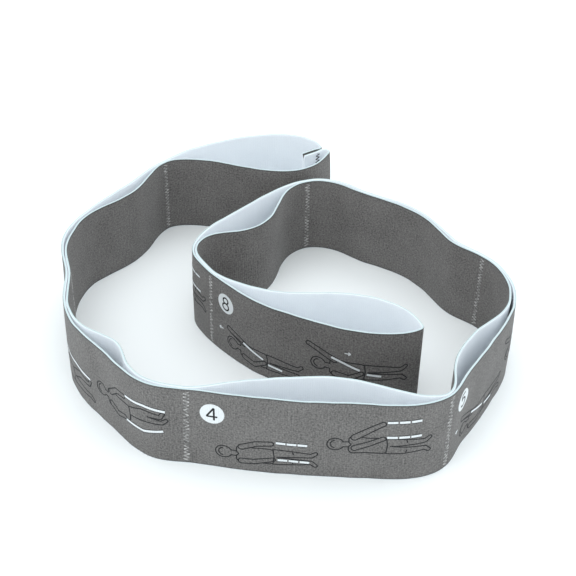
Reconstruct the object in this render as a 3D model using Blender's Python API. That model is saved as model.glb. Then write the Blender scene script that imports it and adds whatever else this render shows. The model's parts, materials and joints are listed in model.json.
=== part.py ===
"""Looped elastic stretching strap, standing on its edge in a loose coil.

One long elastic webbing is folded double and stitched across at intervals, which makes a row
of loops. Seen from above, the strap runs from the closing seam (loop 1, at the back) round the
left, the front and the right into the middle of the coil, where it ends in the fold of loop 8.
The outer layer of each loop faces out of the coil and the inner layer faces into it.
"""

import math

import bmesh
import bpy
import numpy as np

# Webbing
STRAP_WIDTH = 0.040            # height of the strap while it stands on its edge
WEB_THICKNESS = 0.0010         # one layer
LOOP_PITCH = 0.105             # from one seam to the next, along the strap
LAYER_GAP = 0.0003             # between two layers that a seam holds together

# Ends of the strap
SEAM_ALLOWANCE = 0.0106        # cut ends turned into loop 1 behind the closing seam
CLOSING_ROLL_OUTER = 0.0010    # radius of the white face where the outer layer rolls out of that seam
CLOSING_ROLL_INNER = 0.0020    # and where the inner layer does
FLAP_SPREAD = 0.0006           # how far each cut end springs away from the other
FOLD_RADIUS = 0.0015           # white face of the webbing at the fold of loop 8

# Bending room at each seam: the stitched stub stays on one loop, the other loop starts beyond it
STUB_MARGIN = 0.0009           # webbing of the stub beyond its stitches
STUB_CLEARANCE = 0.0006        # between the stub's corner and the webbing that swings round it

# Zigzag stitching
THREAD_DIAMETER = 0.00035
THREAD_GAP = 0.0003            # from the thread to the face that it lies on
ZIGZAG_WIDTH = 0.0028
ZIGZAG_PITCH = 0.0018          # along the seam, for one zig and one zag
ZIGZAG_MARGIN = 0.0012         # from each edge of the webbing to the first and last stitch
CLOSING_SEAM_OFFSET = 0.0022   # from the closing seam's rolled corner to its stitches

FACE_STEP = 0.0028             # length of one facet along the webbing
ROLL_FACETS = 5                # facets round a rolled corner
SPLINE_STEPS = 24              # points read from a layer's curve between two drawn points

# The coil, drawn in plan for a loop pitch of 105 mm: millimetres, x to the right, y to the back.
DRAWN_PITCH = 105.0

# Where each seam stands, and the heading of the strap there in degrees, from loop 1 to loop 8.
SEAMS = {
    "1_2": ((-61.6, 74.2), 225.0),
    "2_3": ((-95.2, -19.6), 283.0),
    "3_4": ((-37.4, -96.4), 354.0),
    "4_5": ((66.2, -96.8), 46.0),
    "5_6": ((90.3, -3.6), 133.0),
    "6_7": ((10.5, 58.6), 200.0),
    "7_8": ((-31.6, -19.3), 309.0),
}

# The closing seam: where its slit opens, the heading of the cut ends into loop 1, and how far
# the outer and the inner layer turn as they roll out of the seam.
CLOSING_SLIT = (17.3, 89.8)
CLOSING_HEADING = 215.2
CLOSING_TURN = {"outer": 72.0, "inner": 148.0}

# The fold of loop 8: centre of its round corner, and the heading before and after it.
FOLD_CENTRE = (56.4, -55.5)
FOLD_HEADINGS = (35.0, 108.0)

# Points that each layer's white face passes between its seams, in the order of the seams.
LAYERS = {
    (1, "outer"): [(15.4, 95.4), (11.3, 99.4), (5.9, 102.1), (-8.5, 103.4), (-23.3, 100.0),
                   (-37.2, 93.5), (-50.3, 85.6)],
    (1, "inner"): [(13.3, 74.0), (-0.6, 68.0), (-16.0, 69.8), (-31.0, 74.6), (-46.4, 77.6)],
    (2, "outer"): [(-74.6, 55.1), (-83.8, 41.8), (-92.8, 27.8), (-99.1, 13.5), (-99.8, -3.0)],
    (2, "inner"): [(-68.3, 60.3), (-74.0, 46.5), (-83.7, 34.9), (-93.8, 23.8), (-98.25, 10.1),
                   (-98.85, -4.8)],
    (3, "outer"): [(-93.7, -35.0), (-90.4, -49.6), (-82.6, -62.6), (-72.7, -73.8), (-63.4, -84.8),
                   (-51.2, -94.2)],
    (3, "inner"): [(-93.2, -35.3), (-89.7, -50.2), (-80.4, -61.3), (-68.2, -69.3), (-61.9, -83.4),
                   (-51.8, -92.8)],
    (4, "outer"): [(-22.3, -99.0), (-7.5, -101.1), (7.4, -102.5), (22.4, -103.1), (37.4, -103.8),
                   (52.3, -103.4)],
    (4, "inner"): [(-22.4, -93.8), (-7.4, -91.0), (7.7, -89.7), (22.8, -89.5), (37.4, -93.3),
                   (51.7, -98.2)],
    (5, "outer"): [(73.1, -85.3), (80.5, -73.4), (87.8, -61.2), (94.6, -48.6), (99.4, -35.0),
                   (98.7, -19.5)],
    (5, "inner"): [(69.8, -81.6), (74.8, -67.5), (83.6, -55.5), (93.6, -44.8), (98.8, -31.1),
                   (97.45, -16.5)],
    (6, "outer"): [(79.3, 6.7), (72.0, 19.6), (63.5, 32.3), (51.3, 41.8), (38.2, 49.3),
                   (25.7, 57.9)],
    (6, "inner"): [(78.7, 6.2), (71.3, 19.2), (62.9, 31.7), (50.9, 41.0), (37.8, 48.5),
                   (25.4, 57.1)],
    (7, "outer"): [(-3.6, 49.7), (-13.5, 39.6), (-23.0, 29.1), (-32.2, 18.4), (-39.1, 6.5),
                   (-40.7, -3.5), (-36.9, -12.0)],
    (7, "inner"): [(0.0, 48.7), (-4.4, 34.4), (-10.3, 20.7), (-23.1, 13.2), (-32.5, 11.0),
                   (-38.8, 5.0), (-40.3, -3.5), (-36.5, -11.9)],
    (8, "outer"): [(-21.3, -30.8), (-10.2, -40.6), (2.6, -47.9), (16.0, -54.0), (30.1, -58.5),
                   (44.7, -60.2)],
    (8, "inner"): [(54.8, -48.4), (47.2, -40.9), (36.3, -35.9), (23.4, -33.9), (8.6, -34.2),
                   (-6.0, -33.0), (-19.8, -27.7)],
}

METRES = LOOP_PITCH / DRAWN_PITCH          # drawn millimetres to metres at this pitch
STUB_LENGTH = ZIGZAG_WIDTH / 2 + STUB_MARGIN
STUB_REACH = math.hypot(STUB_LENGTH, LAYER_GAP / 2 + WEB_THICKNESS)
LOOP_START = STUB_REACH + STUB_CLEARANCE   # from a bending axis to the webbing that swings on it
THREAD_OFFSET = THREAD_GAP + THREAD_DIAMETER / 2
ROOT_LOOP = 4                              # the strap bends outwards from here, both ways


# ---- shapes in plan


def unit(degrees):
    return np.array([math.cos(math.radians(degrees)), math.sin(math.radians(degrees))])


def left_of(direction):
    """Quarter turn to the left, of one direction or of each row."""
    direction = np.asarray(direction)
    return np.stack([-direction[..., 1], direction[..., 0]], axis=-1)


def lengths_along(points):
    """Distance from the first point to each point, along the line through them."""
    return np.r_[0.0, np.cumsum(np.linalg.norm(np.diff(points, axis=0), axis=1))]


def smooth_curve(points, first_direction, last_direction):
    """Points of the cubic spline through the given points, with the given end directions."""
    points = np.array(points)
    spans = np.linalg.norm(np.diff(points, axis=0), axis=1)
    chords = np.diff(points, axis=0) / spans[:, None]
    matrix = np.eye(len(points))
    slopes = np.zeros_like(points)
    slopes[0], slopes[-1] = first_direction, last_direction
    for i in range(1, len(points) - 1):
        before, after = 1 / spans[i - 1], 1 / spans[i]
        matrix[i, i - 1:i + 2] = before, 2 * (before + after), after
        slopes[i] = 3 * (chords[i - 1] * before + chords[i] * after)
    slopes = np.linalg.solve(matrix, slopes)
    t = np.linspace(0, 1, SPLINE_STEPS, endpoint=False)[:, None]
    curve = [
        points[i] * (2 * t**3 - 3 * t**2 + 1)
        + points[i + 1] * (3 * t**2 - 2 * t**3)
        + spans[i] * (slopes[i] * (t**3 - 2 * t**2 + t) + slopes[i + 1] * (t**3 - t**2))
        for i in range(len(spans))
    ]
    return np.vstack(curve + [points[-1:]])


def stretch(curve, start, end):
    """The part of a curve between two distances along it, as facets of about FACE_STEP."""
    along = lengths_along(curve)
    end = along[-1] - end
    at = np.linspace(start, end, 1 + max(2, round((end - start) / FACE_STEP)))
    return np.column_stack([np.interp(at, along, curve[:, axis]) for axis in (0, 1)])


def round_corner(centre, radius, heading, turn):
    """Arc that starts at a heading and turns by so many degrees, to the left if positive."""
    side = math.copysign(90, turn)
    steps = np.linspace(0, turn, ROLL_FACETS + 1)
    return np.array([centre + radius * unit(heading - side + step) for step in steps])


def seam(name):
    """Plan point of a seam's bending axis, and the strap's direction there."""
    point, heading = SEAMS[name]
    return np.array(point) * METRES, unit(heading)


def seam_end(name, side):
    """Where a layer's white face meets a seam. Side is 1 for outer and -1 for inner layers."""
    point, direction = seam(name)
    return point - left_of(direction) * side * LAYER_GAP / 2


def seam_name(loop):
    """The seam between a loop and the next one."""
    return f"{loop}_{loop + 1}"


def closing_roll(layer):
    """White face of a cut end: along its flap to the closing seam, and round the roll there."""
    side = 1 if layer == "outer" else -1
    heading = CLOSING_HEADING + 180
    across = left_of(unit(heading)) * side
    radius = CLOSING_ROLL_OUTER if layer == "outer" else CLOSING_ROLL_INNER
    face = np.array(CLOSING_SLIT) * METRES + across * (LAYER_GAP / 2 + WEB_THICKNESS)
    held = face - unit(heading) * (CLOSING_SEAM_OFFSET + STUB_LENGTH)
    cut_end = face - unit(heading) * SEAM_ALLOWANCE + across * FLAP_SPREAD
    turn = side * CLOSING_TURN[layer]
    corner = round_corner(face + across * radius, radius, heading, turn)
    return np.vstack([[cut_end, held], corner]), heading + turn


def fold():
    """White face round the fold of loop 8."""
    before, after = FOLD_HEADINGS
    return round_corner(np.array(FOLD_CENTRE) * METRES, FOLD_RADIUS, before, after - before)


def layer_curve(loop, layer, first=None, first_direction=None, last=None, last_direction=None):
    """A layer's white face from seam to seam, or from and to the given ends."""
    side = 1 if layer == "outer" else -1
    if first is None:
        first, first_direction = seam_end(seam_name(loop - 1), side), seam(seam_name(loop - 1))[1]
    if last is None:
        last, last_direction = seam_end(seam_name(loop), side), seam(seam_name(loop))[1]
    points = [np.array(point) * METRES for point in LAYERS[loop, layer]]
    return smooth_curve([first] + points + [last], first_direction, last_direction)


def with_stub(curve, loop, neighbour, side):
    """Adds the short straight end that carries the stitches of the seam to a neighbour."""
    name = seam_name(min(loop, neighbour))
    direction = seam(name)[1] * (1 if neighbour > loop else -1)
    tip = seam_end(name, side) + direction * STUB_LENGTH
    return np.vstack([curve, [tip]]) if neighbour > loop else np.vstack([[tip], curve])


def white_face(loop, layer):
    """Plan line of a layer's white face, with its stub or its bending room at each seam."""
    side = 1 if layer == "outer" else -1
    if loop == 1:
        roll, heading = closing_roll(layer)
        free = layer_curve(1, layer, first=roll[-1], first_direction=unit(heading))
        return np.vstack([roll[:-1], stretch(free, 0, LOOP_START)])
    curve = layer_curve(loop, layer)
    start = 0 if loop <= ROOT_LOOP else LOOP_START
    end = 0 if loop >= ROOT_LOOP else LOOP_START
    line = stretch(curve, start, end)
    if loop <= ROOT_LOOP:
        line = with_stub(line, loop, loop - 1, side)
    if loop >= ROOT_LOOP:
        line = with_stub(line, loop, loop + 1, side)
    return line


def folded_white_face():
    """Plan line of loop 8's white face: the outer layer, the fold, and the inner layer back."""
    bend = fold()
    before, after = unit(FOLD_HEADINGS[0]), unit(FOLD_HEADINGS[1])
    out = layer_curve(8, "outer", last=bend[0], last_direction=before)
    name = seam_name(7)
    back_points = [np.array(point) * METRES for point in LAYERS[8, "inner"]]
    back = smooth_curve([bend[-1]] + back_points + [seam_end(name, -1)], after, -seam(name)[1])
    return np.vstack([stretch(out, LOOP_START, 0), bend[1:-1], stretch(back, 0, LOOP_START)])


def grey_face(white, side):
    """The other face of the webbing, one thickness away from its white face."""
    runs = np.diff(white, axis=0)
    runs /= np.linalg.norm(runs, axis=1)[:, None]
    bisectors = np.vstack([runs[:1], runs[:-1] + runs[1:], runs[-1:]])
    bisectors /= np.linalg.norm(bisectors, axis=1)[:, None]
    mitre = np.r_[1.0, (runs[:-1] * bisectors[1:-1]).sum(axis=1), 1.0]
    return white - side * left_of(bisectors) * (WEB_THICKNESS / mitre)[:, None]


def webbing_plans():
    """Name to the plan lines of the white and the grey face, for each piece of webbing."""
    plans = {}
    for loop in range(1, 8):
        for layer, side in (("outer", 1), ("inner", -1)):
            white = white_face(loop, layer)
            plans[f"loop_{loop}_{layer}_layer"] = white, grey_face(white, side)
    white = folded_white_face()
    plans["loop_8_folded_layers"] = white, grey_face(white, 1)
    return plans


def middle_of(plans):
    """Centre of the strap's footprint."""
    corners = np.vstack([line for lines in plans.values() for line in lines])
    return (corners.min(axis=0) + corners.max(axis=0)) / 2


# ---- solids


def new_material(name, colour, roughness):
    material = bpy.data.materials.new(name)
    material.use_nodes = True
    shader = material.node_tree.nodes["Principled BSDF"]
    shader.inputs["Base Color"].default_value = (*colour, 1)
    shader.inputs["Roughness"].default_value = roughness
    shader.inputs["Metallic"].default_value = 0.0
    return material


def add_object(name, data, material, pivot):
    """Puts an object that is drawn in place under the empty of its loop's bending axis."""
    obj = bpy.data.objects.new(name, data)
    data.materials.append(material)
    bpy.context.scene.collection.objects.link(obj)
    if pivot is not None:
        obj.parent = pivot
        obj.matrix_parent_inverse = pivot.matrix_world.inverted()
    return obj


def add_webbing(name, white, grey, material, pivot):
    """A wall of webbing: the strip between two plan lines, raised by the strap's width."""
    mesh = bmesh.new()
    rows = [[mesh.verts.new((x, y, 0.0)) for x, y in line] for line in (white, grey)]
    for i in range(len(white) - 1):
        mesh.faces.new((rows[0][i], rows[0][i + 1], rows[1][i + 1], rows[1][i]))
    top = bmesh.ops.extrude_face_region(mesh, geom=mesh.faces[:])["geom"]
    raised = [item for item in top if isinstance(item, bmesh.types.BMVert)]
    bmesh.ops.translate(mesh, verts=raised, vec=(0, 0, STRAP_WIDTH))
    bmesh.ops.recalc_face_normals(mesh, faces=mesh.faces[:])
    data = bpy.data.meshes.new(name)
    mesh.to_mesh(data)
    mesh.free()
    data.shade_smooth()
    data.set_sharp_from_angle(angle=math.radians(40))
    return add_object(name, data, material, pivot)


def add_zigzag(name, centre, along, material, pivot):
    """Zigzag thread up a face: centre is its plan point, along is the strap's direction."""
    usable = STRAP_WIDTH - 2 * ZIGZAG_MARGIN
    zigs = 2 * round(usable / ZIGZAG_PITCH)
    heights = np.linspace(ZIGZAG_MARGIN, STRAP_WIDTH - ZIGZAG_MARGIN, zigs + 1)
    swing = (ZIGZAG_WIDTH - THREAD_DIAMETER) / 2
    data = bpy.data.curves.new(name, "CURVE")
    data.dimensions = "3D"
    data.bevel_depth = THREAD_DIAMETER / 2
    data.bevel_resolution = 0
    data.use_fill_caps = True
    line = data.splines.new("POLY")
    line.points.add(zigs)
    for i, (point, height) in enumerate(zip(line.points, heights)):
        x, y = centre + along * swing * (-1) ** i
        point.co = (x, y, height, 1)
    return add_object(name, data, material, pivot)


def add_pivot(loop, middle, parent):
    """Empty on the axis that a loop bends on, under the empty of the loop that carries it."""
    name = seam_name(loop if loop < ROOT_LOOP else loop - 1)
    pivot = bpy.data.objects.new(f"pivot_{name}", None)
    bpy.context.scene.collection.objects.link(pivot)
    place = seam(name)[0] - middle
    pivot.location = (*place, 0.0)
    if parent is not None:
        pivot.parent = parent
        pivot.matrix_parent_inverse = parent.matrix_world.inverted()
    bpy.context.view_layer.update()
    return pivot


def add_pivots(middle):
    """Loop number to the empty that it swings on. The root loop stands still."""
    pivots = {ROOT_LOOP: None}
    for loop in range(ROOT_LOOP - 1, 0, -1):
        pivots[loop] = add_pivot(loop, middle, pivots[loop + 1])
    for loop in range(ROOT_LOOP + 1, 9):
        pivots[loop] = add_pivot(loop, middle, pivots[loop - 1])
    return pivots


def add_loop_seam(loop, middle, pivots, material):
    """Needle thread on the outer face and bobbin thread on the inner face of a seam's stubs."""
    name = seam_name(loop)
    point, direction = seam(name)
    stand_off = LAYER_GAP / 2 + WEB_THICKNESS + THREAD_OFFSET
    carrier = pivots[loop if loop >= ROOT_LOOP else loop + 1]
    for kind, side in (("needle", -1), ("bobbin", 1)):
        centre = point - middle + left_of(direction) * side * stand_off
        add_zigzag(f"seam_{name}_{kind}_thread", centre, direction, material, carrier)


def add_closing_seam(middle, pivots, material):
    """Threads on the white faces of the two flaps that the closing seam joins."""
    direction = unit(CLOSING_HEADING)
    point = np.array(CLOSING_SLIT) * METRES + direction * CLOSING_SEAM_OFFSET
    stand_off = LAYER_GAP / 2 + WEB_THICKNESS + THREAD_OFFSET
    for kind, side in (("needle", -1), ("bobbin", 1)):
        centre = point - middle + left_of(direction) * side * stand_off
        add_zigzag(f"closing_seam_{kind}_thread", centre, direction, material, pivots[1])


def main():
    for obj in list(bpy.data.objects):
        bpy.data.objects.remove(obj, do_unlink=True)
    webbing = new_material("woven_elastic", (0.13, 0.13, 0.135), 0.85)
    pale_thread = new_material("pale_thread", (0.62, 0.63, 0.64), 0.6)
    dark_thread = new_material("dark_thread", (0.03, 0.03, 0.035), 0.6)
    plans = webbing_plans()
    middle = middle_of(plans)
    pivots = add_pivots(middle)
    for name, (white, grey) in plans.items():
        loop = int(name.split("_")[1])
        add_webbing(name, white - middle, grey - middle, webbing, pivots[loop])
    for loop in range(1, 8):
        add_loop_seam(loop, middle, pivots, pale_thread)
    add_closing_seam(middle, pivots, dark_thread)


main()
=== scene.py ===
import json
import math

import bpy
import numpy as np
from mathutils import Matrix


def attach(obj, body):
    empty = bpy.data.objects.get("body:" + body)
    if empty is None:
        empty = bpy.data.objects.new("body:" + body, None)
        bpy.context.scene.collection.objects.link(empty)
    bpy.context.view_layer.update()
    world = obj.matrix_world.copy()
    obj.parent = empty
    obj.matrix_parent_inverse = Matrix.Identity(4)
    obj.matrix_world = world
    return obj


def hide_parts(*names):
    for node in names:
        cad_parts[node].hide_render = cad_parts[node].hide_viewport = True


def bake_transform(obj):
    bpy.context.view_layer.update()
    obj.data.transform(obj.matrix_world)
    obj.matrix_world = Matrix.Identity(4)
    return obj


# Looped elastic stretching strap, standing on its edge in a loose coil.
# One long webbing, grey on one face and white on the other, is folded double and stitched across,
# which makes eight loops. Along the strip, s runs from the cut end of the outer layer, through the
# outer layers of loops 1 to 8, round the fold and back along the inner layers to the other cut end.
# The white face is on the left of that way and the grey face on the right.

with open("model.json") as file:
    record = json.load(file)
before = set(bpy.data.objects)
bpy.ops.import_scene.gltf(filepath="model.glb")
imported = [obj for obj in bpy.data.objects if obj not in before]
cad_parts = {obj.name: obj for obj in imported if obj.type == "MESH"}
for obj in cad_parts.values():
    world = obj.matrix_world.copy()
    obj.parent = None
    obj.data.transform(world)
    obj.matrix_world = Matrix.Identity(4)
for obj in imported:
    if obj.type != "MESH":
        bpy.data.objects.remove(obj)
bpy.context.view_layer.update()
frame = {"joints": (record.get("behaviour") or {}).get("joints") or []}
mm = 0.001


# camera, light and floor

camera = {
    "aim": (0.0022, 0.0233, 0.0),   # point on the floor in the middle of the view
    "distance": 0.5826,
    "pitch": 36.65,                 # degrees below the horizontal
    "roll": 1.04,
    "lens": 74.44,
    "sensor": 36.0,
}
light = {
    "sky": (0.945, 0.98, 1.0), "horizon": 0.86, "overhead": 1.5,
    "key": {"place": (-0.35, -0.5, 1.1), "size": 1.0, "power": 3.2, "colour": (1.0, 0.99, 0.97)},
    "fill": {"place": (0.9, 0.5, 0.9), "size": 1.2, "power": 3.0, "colour": (0.95, 0.98, 1.0)},
}
floorLook = {
    "half": 15.0, "drop": 0.2 * mm,
    "colour": (0.92, 0.955, 0.965), "roughness": 0.6, "specular": 0.2,
}


def placeCamera():
    # back off from the aim point along the view, then turn about the view for the roll
    pitch = math.radians(camera["pitch"])
    back = np.array([0.0, -math.cos(pitch), math.sin(pitch)]) * camera["distance"]
    data = bpy.data.cameras.new("camera")
    data.lens, data.sensor_width = camera["lens"], camera["sensor"]
    obj = bpy.data.objects.new("camera", data)
    turn = Matrix.Rotation(math.pi / 2 - pitch, 4, "X")
    turn = turn @ Matrix.Rotation(math.radians(camera["roll"]), 4, "Z")
    obj.matrix_world = Matrix.Translation(np.array(camera["aim"]) + back) @ turn
    bpy.context.scene.collection.objects.link(obj)
    bpy.context.scene.camera = obj


def placeLight(name):
    # soft square panel that faces the middle of the coil
    look = light[name]
    data = bpy.data.lights.new(name, "AREA")
    data.size, data.energy, data.color = look["size"], look["power"], look["colour"]
    obj = bpy.data.objects.new(name, data)
    place = Matrix.Translation(look["place"])
    obj.matrix_world = place @ (-place.translation).to_track_quat("-Z", "Y").to_matrix().to_4x4()
    bpy.context.scene.collection.objects.link(obj)


def makeSky():
    # even sky that is brighter overhead than at the horizon
    world = bpy.data.worlds.new("softStudio")
    world.use_nodes = True
    nodes, links = world.node_tree.nodes, world.node_tree.links
    background = nodes["Background"]
    background.inputs["Color"].default_value = (*light["sky"], 1)
    parts, level = nodes.new("ShaderNodeSeparateXYZ"), nodes.new("ShaderNodeMapRange")
    links.new(nodes.new("ShaderNodeTexCoord").outputs["Generated"], parts.inputs[0])
    links.new(parts.outputs["Z"], level.inputs["Value"])
    level.inputs["To Min"].default_value = light["horizon"]
    level.inputs["To Max"].default_value = light["overhead"]
    links.new(level.outputs[0], background.inputs["Strength"])
    bpy.context.scene.world = world


def makeFloor():
    # one large square of pale paper, a little below the strap's lower edge
    half, z = floorLook["half"], -floorLook["drop"]
    data = bpy.data.meshes.new("floor")
    corners = [(-half, -half, z), (half, -half, z), (half, half, z), (-half, half, z)]
    data.from_pydata(corners, [], [(0, 1, 2, 3)])
    material = bpy.data.materials.new("floorPaper")
    material.use_nodes = True
    shader = material.node_tree.nodes["Principled BSDF"]
    shader.inputs["Base Color"].default_value = (*floorLook["colour"], 1)
    shader.inputs["Roughness"].default_value = floorLook["roughness"]
    shader.inputs["Specular IOR Level"].default_value = floorLook["specular"]
    data.materials.append(material)
    obj = bpy.data.objects.new("floor", data)
    bpy.context.scene.collection.objects.link(obj)


placeCamera()
makeSky()
placeLight("key")
placeLight("fill")
makeFloor()
bpy.context.scene.view_settings.view_transform = "Standard"
print("camera, light and floor: done")


# route of the strip in plan: the points and headings that the solids are built on, in drawn millimetres

strap = {
    "width": 40 * mm,
    "thickness": 1.0 * mm,
    "layerGap": 0.3 * mm,          # between two layers that a seam holds together
    "seamAllowance": 10.6 * mm,    # cut end behind the closing seam
    "rollRadius": {"outer": 1.0 * mm, "inner": 2.0 * mm},   # white face as it rolls out of that seam
    "foldRadius": 1.5 * mm,        # white face at the fold of loop 8
    "closingOffset": 2.2 * mm,     # from the closing seam's rolled corner to its stitches
}
seams = {
    1: ((-61.6, 74.2), 225.0), 2: ((-95.2, -19.6), 283.0), 3: ((-37.4, -96.4), 354.0),
    4: ((66.2, -96.8), 46.0), 5: ((90.3, -3.6), 133.0), 6: ((10.5, 58.6), 200.0),
    7: ((-31.6, -19.3), 309.0),
}
closing = {"slit": (17.3, 89.8), "heading": 215.2, "turn": {"outer": 72.0, "inner": 148.0}}
fold = {"centre": (56.4, -55.5), "headings": (35.0, 108.0)}
layers = {
    (1, "outer"): [(15.4, 95.4), (11.3, 99.4), (5.9, 102.1), (-8.5, 103.4), (-23.3, 100.0), (-37.2, 93.5),
                   (-50.3, 85.6)],
    (1, "inner"): [(13.3, 74.0), (-0.6, 68.0), (-16.0, 69.8), (-31.0, 74.6), (-46.4, 77.6)],
    (2, "outer"): [(-74.6, 55.1), (-83.8, 41.8), (-92.8, 27.8), (-99.1, 13.5), (-99.8, -3.0)],
    (2, "inner"): [(-68.3, 60.3), (-74.0, 46.5), (-83.7, 34.9), (-93.8, 23.8), (-98.25, 10.1),
                   (-98.85, -4.8)],
    (3, "outer"): [(-93.7, -35.0), (-90.4, -49.6), (-82.6, -62.6), (-72.7, -73.8), (-63.4, -84.8),
                   (-51.2, -94.2)],
    (3, "inner"): [(-93.2, -35.3), (-89.7, -50.2), (-80.4, -61.3), (-68.2, -69.3), (-61.9, -83.4),
                   (-51.8, -92.8)],
    (4, "outer"): [(-22.3, -99.0), (-7.5, -101.1), (7.4, -102.5), (22.4, -103.1), (37.4, -103.8),
                   (52.3, -103.4)],
    (4, "inner"): [(-22.4, -93.8), (-7.4, -91.0), (7.7, -89.7), (22.8, -89.5), (37.4, -93.3), (51.7, -98.2)],
    (5, "outer"): [(73.1, -85.3), (80.5, -73.4), (87.8, -61.2), (94.6, -48.6), (99.4, -35.0), (98.7, -19.5)],
    (5, "inner"): [(69.8, -81.6), (74.8, -67.5), (83.6, -55.5), (93.6, -44.8), (98.8, -31.1), (97.45, -16.5)],
    (6, "outer"): [(79.3, 6.7), (72.0, 19.6), (63.5, 32.3), (51.3, 41.8), (38.2, 49.3), (25.7, 57.9)],
    (6, "inner"): [(78.7, 6.2), (71.3, 19.2), (62.9, 31.7), (50.9, 41.0), (37.8, 48.5), (25.4, 57.1)],
    (7, "outer"): [(-3.6, 49.7), (-13.5, 39.6), (-23.0, 29.1), (-32.2, 18.4), (-39.1, 6.5), (-40.7, -3.5),
                   (-36.9, -12.0)],
    (7, "inner"): [(0.0, 48.7), (-4.4, 34.4), (-10.3, 20.7), (-23.1, 13.2), (-32.5, 11.0), (-38.8, 5.0),
                   (-40.3, -3.5), (-36.5, -11.9)],
    (8, "outer"): [(-21.3, -30.8), (-10.2, -40.6), (2.6, -47.9), (16.0, -54.0), (30.1, -58.5), (44.7, -60.2)],
    (8, "inner"): [(54.8, -48.4), (47.2, -40.9), (36.3, -35.9), (23.4, -33.9), (8.6, -34.2), (-6.0, -33.0),
                   (-19.8, -27.7)],
}
stepsPerSpan = 24      # points read from the spline between two drawn points
stepsPerRoll = 28      # points round a rolled corner or the fold
sides = {"outer": 1, "inner": -1}


def unit(degrees):
    # direction of a heading, counted from x towards y
    return np.array([math.cos(math.radians(degrees)), math.sin(math.radians(degrees))])


def leftOf(direction):
    # quarter turn to the left, of one direction or of each row
    return np.stack([-direction[..., 1], direction[..., 0]], axis=-1)


def lengthsAlong(points):
    # running length at each point of a line: the sum of the distances before it
    return np.r_[0.0, np.cumsum(np.linalg.norm(np.diff(points, axis=0), axis=1))]


def smoothCurve(points, firstDirection, lastDirection):
    # cubic spline through the points with given end directions; inner slopes make the curvature continuous
    points = np.array(points)
    spans = np.linalg.norm(np.diff(points, axis=0), axis=1)
    chords = np.diff(points, axis=0) / spans[:, None]
    matrix = np.eye(len(points))
    slopes = np.zeros_like(points)
    slopes[0], slopes[-1] = firstDirection, lastDirection
    for i in range(1, len(points) - 1):
        before, after = 1 / spans[i - 1], 1 / spans[i]
        matrix[i, i - 1:i + 2] = before, 2 * (before + after), after
        slopes[i] = 3 * (chords[i - 1] * before + chords[i] * after)
    slopes = np.linalg.solve(matrix, slopes)
    t = np.linspace(0, 1, stepsPerSpan, endpoint=False)[None, :, None]
    start, end, span = points[:-1, None], points[1:, None], spans[:, None, None]
    curve = (start * (2 * t**3 - 3 * t**2 + 1) + end * (3 * t**2 - 2 * t**3)
             + span * (slopes[:-1, None] * (t**3 - 2 * t**2 + t) + slopes[1:, None] * (t**3 - t**2)))
    return np.vstack([curve.reshape(-1, 2), points[-1:]])


def roundCorner(centre, radius, heading, turn):
    # arc that starts at a heading and turns by so many degrees, to the left if positive
    angles = np.radians(heading - math.copysign(90, turn) + np.linspace(0, turn, stepsPerRoll + 1))
    return centre + radius * np.column_stack([np.cos(angles), np.sin(angles)])


def drawn(point):
    # a drawn point in metres, moved as the frame's first bending axis is from where it was drawn
    axis = next(joint["pos_m"] for joint in frame["joints"] if joint["name"] == "bend_1_2")
    return np.array(point) * mm + np.array(axis[:2]) - np.array(seams[1][0]) * mm


def seamAxis(number):
    # plan point of the bending axis between a loop and the next, from the frame, and the strap's heading
    name = f"bend_{number}_{number + 1}"
    axis = next(joint["pos_m"] for joint in frame["joints"] if joint["name"] == name)
    return np.array(axis[:2]), unit(seams[number][1])


def seamEnd(number, side):
    # where a layer's white face passes a seam
    point, direction = seamAxis(number)
    return point - leftOf(direction) * side * strap["layerGap"] / 2


def closingRoll(layer):
    # white face of a cut end: along its flap to the closing seam and round the roll there
    side, heading = sides[layer], closing["heading"] + 180
    across = leftOf(unit(heading)) * side
    face = drawn(closing["slit"]) + across * (strap["layerGap"] / 2 + strap["thickness"])
    flap = np.linspace(face - unit(heading) * strap["seamAllowance"], face, stepsPerRoll, endpoint=False)
    turn, radius = side * closing["turn"][layer], strap["rollRadius"][layer]
    corner = roundCorner(face + across * radius, radius, heading, turn)
    return np.vstack([flap, corner]), heading + turn


def layerCurve(loop, layer):
    # white face of one layer in the order of the seams, from the cut end or the seam before
    side = sides[layer]
    points = [drawn(point) for point in layers[loop, layer]]
    last, lastDirection = seamEnd(loop, side), seamAxis(loop)[1]
    if loop == 1:
        roll, heading = closingRoll(layer)
        free = smoothCurve([roll[-1]] + points + [last], unit(heading), lastDirection)
        return np.vstack([roll[:-1], free])
    return smoothCurve([seamEnd(loop - 1, side)] + points + [last], seamAxis(loop - 1)[1], lastDirection)


def foldCurve():
    # white face of loop 8: the outer layer, the round fold, and the inner layer back to the seam
    before, after = fold["headings"]
    bend = roundCorner(drawn(fold["centre"]), strap["foldRadius"], before, after - before)
    out = [seamEnd(7, 1)] + [drawn(point) for point in layers[8, "outer"]] + [bend[0]]
    back = [bend[-1]] + [drawn(point) for point in layers[8, "inner"]] + [seamEnd(7, -1)]
    out = smoothCurve(out, seamAxis(7)[1], unit(before))
    back = smoothCurve(back, unit(after), -seamAxis(7)[1])
    return out, bend, back


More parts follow.
